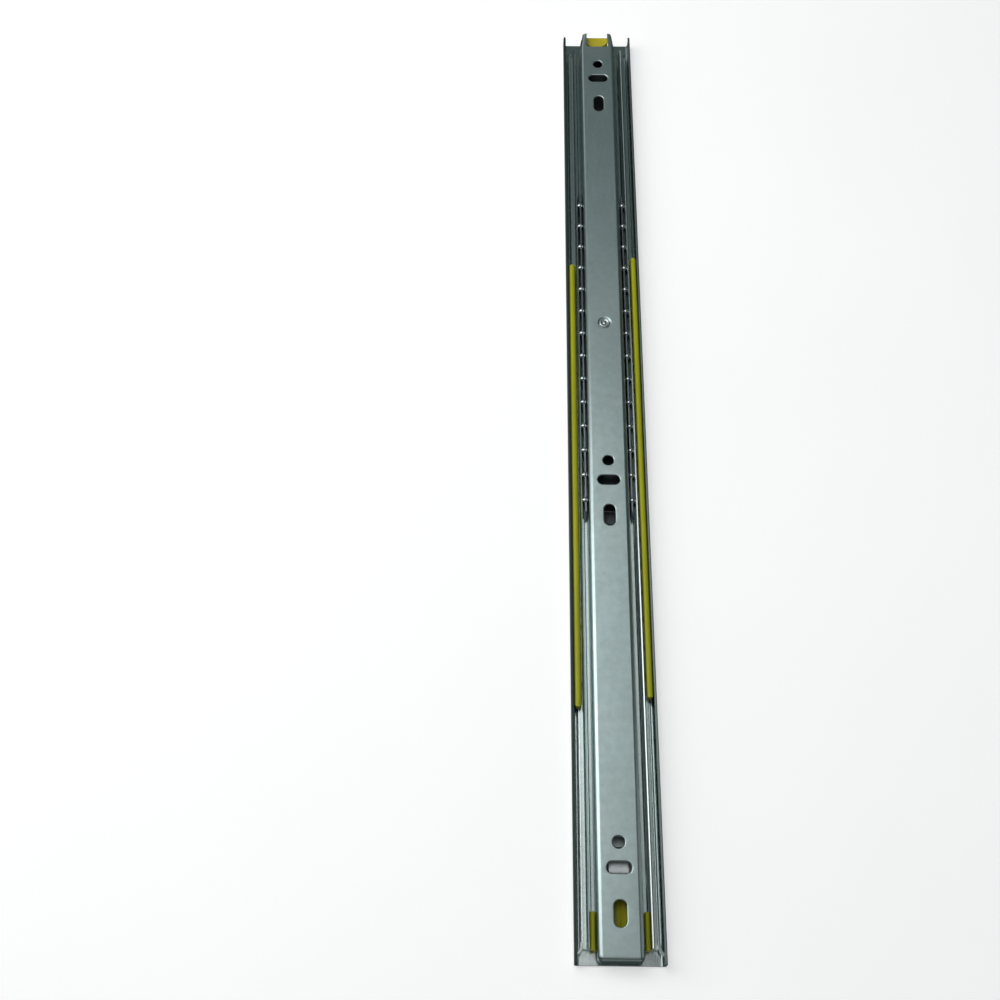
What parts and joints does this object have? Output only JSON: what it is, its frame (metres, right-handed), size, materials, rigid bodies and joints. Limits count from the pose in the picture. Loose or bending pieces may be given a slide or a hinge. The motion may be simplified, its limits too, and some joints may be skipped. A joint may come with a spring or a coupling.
{
  "type": "cabinet drawer slide",
  "caption": "Full-extension ball-bearing drawer slide with cabinet, middle and drawer members, ball cages, end buffers and rows of screw holes.",
  "frame": {"origin": "middle of the slide's length and width, on the cabinet member's back face", "axes": "+Y towards the rear end, +X to the right seen from the front, +Z from the cabinet face to the drawer face"},
  "size_m": [0.045, 0.6, 0.0127],
  "materials": {
    "zinc_cabinet": "zinc plated, satin",
    "zinc_middle": "zinc plated, satin",
    "zinc_drawer": "zinc plated, satin",
    "yellow_retainer": "moulded, waxy",
    "yellow_buffer": "moulded, waxy",
    "ball_steel": "polished and greased",
    "cage_steel": "dark plated",
    "rivet_steel": "bright zinc plated"
  },
  "bodies": {
    "cabinet": {"cabinet_member": "zinc_cabinet", "rear_bumper": "yellow_buffer"},
    "middle": {"middle_member": "zinc_middle", "front_buffer": "yellow_buffer"},
    "drawer": {"drawer_member": "zinc_drawer", "stop_rivet": "rivet_steel"},
    "left_outer_retainer": {"outer_retainer_left": "yellow_retainer", "outer_balls_left": "ball_steel"},
    "right_outer_retainer": {"outer_retainer_right": "yellow_retainer", "outer_balls_right": "ball_steel"},
    "inner_retainer": {"inner_cage": "cage_steel", "inner_balls_left": "ball_steel", "inner_balls_right": "ball_steel"}
  },
  "joints": [
    {"name": "middle_slide", "type": "slide", "parent": "cabinet", "child": "middle", "axis": [0, -1, 0], "range_m": [0, 0.293]},
    {"name": "drawer_slide", "type": "slide", "parent": "middle", "child": "drawer", "axis": [0, -1, 0], "range_m": [0, 0.307]},
    {"name": "left_retainer_roll", "type": "slide", "parent": "cabinet", "child": "left_outer_retainer", "axis": [0, -1, 0], "range_m": [0, 0.1172]},
    {"name": "right_retainer_roll", "type": "slide", "parent": "cabinet", "child": "right_outer_retainer", "axis": [0, -1, 0], "range_m": [0, 0.1231]},
    {"name": "inner_retainer_roll", "type": "slide", "parent": "middle", "child": "inner_retainer", "axis": [0, -1, 0], "range_m": [0, 0.172]}
  ],
  "couplings": [
    {"joint": "left_retainer_roll", "follows": "middle_slide", "ratio": 0.4},
    {"joint": "right_retainer_roll", "follows": "middle_slide", "ratio": 0.42},
    {"joint": "inner_retainer_roll", "follows": "drawer_slide", "ratio": 0.56}
  ]
}
